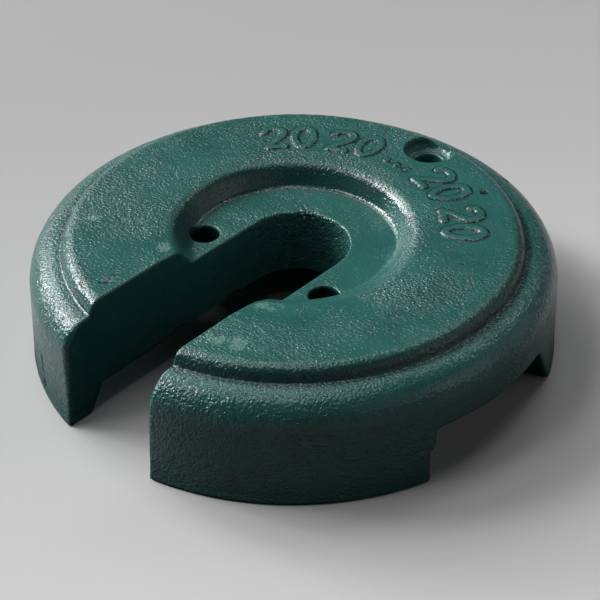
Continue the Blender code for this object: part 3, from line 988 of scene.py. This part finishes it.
def floor_points(half_width, steps):
    """A square sheet of points at height zero, evenly spaced both ways."""
    along = np.linspace(-half_width, half_width, steps)
    x, y = np.meshgrid(along, along, indexing="ij")
    points = np.stack([x.ravel(), y.ravel(), np.zeros(x.size)], axis=-1)
    index = np.arange(steps * steps).reshape(steps, steps)
    quads = np.stack([index[:-1, :-1], index[1:, :-1], index[1:, 1:], index[:-1, 1:]], axis=-1)
    return points, quads.reshape(-1, 4)


def facing(place, target):
    """Matrix that stands at place and looks along -Z at the target, with +Y as near up as it can be."""
    turn = (Vector(target) - Vector(place)).to_track_quat("-Z", "Y")
    return Matrix.Translation(place) @ turn.to_matrix().to_4x4()


def direction(azimuth, elevation):
    """The direction at an azimuth and an elevation in degrees, as a vector of length 1."""
    a, e = np.radians(azimuth), np.radians(elevation)
    return Vector((np.sin(a) * np.cos(e), -np.cos(a) * np.cos(e), np.sin(e)))


# Name, azimuth, elevation, size and power. Sizes and powers are for the fitted distance, and scaled to the real one.

FITTED_DISTANCE = 3.0
LAMP_DISTANCE = 8.0
LAMP_SCALE = LAMP_DISTANCE / FITTED_DISTANCE
LAMP_TARGET = (0.0, 0.0, 0.03)
LAMPS = (
    ("key_low", -81, 23, (1.0, 0.75), 37.0),
    ("key_main", -66, 38, (0.9, 0.9), 38.0),
    ("key_side", -97, 36, (0.8, 0.8), 15.0),
    ("front_high", -43, 57, (0.9, 0.9), 13.0),
    ("left_high", -110, 50, (0.8, 0.8), 6.5),
    ("left_low", -110, 22, (0.8, 0.7), 5.0),
    ("rear_left", -140, 65, (0.8, 0.8), 5.0),
    ("overhead", 0, 88, (0.8, 0.8), 5.0),
    ("rear_high", 180, 45, (0.8, 0.8), 4.2),
    ("rear_low", 132, 22, (3.4, 1.7), 4.8),
    ("right_low", 92, 26, (3.4, 2.0), 3.2),
)


def soft_lamp(name, azimuth, elevation, size, power):
    """A soft box that faces the casting from the given azimuth and elevation."""
    light = bpy.data.lights.new(name, "AREA")
    light.shape = "RECTANGLE"
    light.size, light.size_y = (side * LAMP_SCALE for side in size)
    light.energy = power * LAMP_SCALE**2
    lamp = bpy.data.objects.new(name, light)
    bpy.context.scene.collection.objects.link(lamp)
    lamp.matrix_world = facing(LAMP_DISTANCE * direction(azimuth, elevation), LAMP_TARGET)


def camera_matrix(look):
    """The camera stands off its target along the given azimuth and elevation, and is then rolled."""
    back = direction(look.azimuth, look.elevation)
    right = Vector((0, 0, 1)).cross(back).normalized()
    up = back.cross(right)
    turn = Matrix((right, up, back)).transposed() @ Matrix.Rotation(np.radians(look.roll), 3, "Z")
    return Matrix.Translation(CAMERA_TARGET + back * look.distance) @ turn.to_4x4()


WHITE = (1.0, 1.0, 1.0, 1.0)


def pale_room(brightness):
    """A room that only the camera sees, behind the paper's far edge. It lights nothing."""
    world = bpy.data.worlds.new("room")
    world.use_nodes = True
    tree = world.node_tree
    background = tree.nodes["Background"].inputs
    background["Color"].default_value = WHITE
    strength = tree.nodes.new("ShaderNodeMath")
    strength.operation = "MULTIPLY"
    strength.inputs[1].default_value = brightness
    tree.links.new(tree.nodes.new("ShaderNodeLightPath").outputs["Is Camera Ray"], strength.inputs[0])
    tree.links.new(strength.outputs[0], background["Strength"])
    return world


class SCENE_OT_tent_weight_studio(bpy.types.Operator):
    """Add the floor, the lamps and the camera"""

    bl_idname = "scene.tent_weight_studio"
    bl_label = "Studio"

    def execute(self, context):
        scene = context.scene
        look = scene.tent_weight_studio
        points, quads = floor_points(FLOOR_HALF_WIDTH, FLOOR_STEPS)
        floor = bpy.data.objects.new("floor", mesh_from("floor", points, quads))
        scene.collection.objects.link(floor)
        floor.data.materials.append(paper(look))

        for lamp in LAMPS:
            soft_lamp(*lamp)
        scene.world = pale_room(look.backdrop)

        camera = bpy.data.objects.new("camera", bpy.data.cameras.new("camera"))
        scene.collection.objects.link(camera)
        camera.data.lens = look.focal_length
        camera.matrix_world = camera_matrix(look)
        scene.camera = camera
        scene.view_settings.view_transform = "Standard"
        return {"FINISHED"}


class VIEW3D_PT_tent_weight(bpy.types.Panel):
    """Sizes, looks and the steps that build the weight"""

    bl_idname = "VIEW3D_PT_tent_weight"
    bl_label = "Tent Weight"
    bl_space_type = "VIEW_3D"
    bl_region_type = "UI"
    bl_category = "Tent Weight"

    def draw(self, context):
        layout = self.layout
        for operator in OPERATORS:
            layout.operator(operator.bl_idname)
        for name, group in GROUPS.items():
            box = layout.box()
            box.label(text=group.__doc__)
            for prop in group.__annotations__:
                box.prop(getattr(context.scene, name), prop)


GROUPS = {
    "tent_weight_shape": CastingShape,
    "tent_weight_surface": CastingSurface,
    "tent_weight_enamel": EnamelLook,
    "tent_weight_studio": StudioLook,
}
OPERATORS = (MESH_OT_tent_weight_casting, SCENE_OT_tent_weight_studio)


def register():
    for cls in (*GROUPS.values(), *OPERATORS, VIEW3D_PT_tent_weight):
        bpy.utils.register_class(cls)
    for name, group in GROUPS.items():
        setattr(bpy.types.Scene, name, PointerProperty(type=group))


def unregister():
    for name in GROUPS:
        delattr(bpy.types.Scene, name)
    for cls in (VIEW3D_PT_tent_weight, *OPERATORS, *GROUPS.values()):
        bpy.utils.unregister_class(cls)


def main():
    register()
    bpy.ops.mesh.tent_weight_casting()
    bpy.ops.scene.tent_weight_studio()


if __name__ == "__main__":
    main()
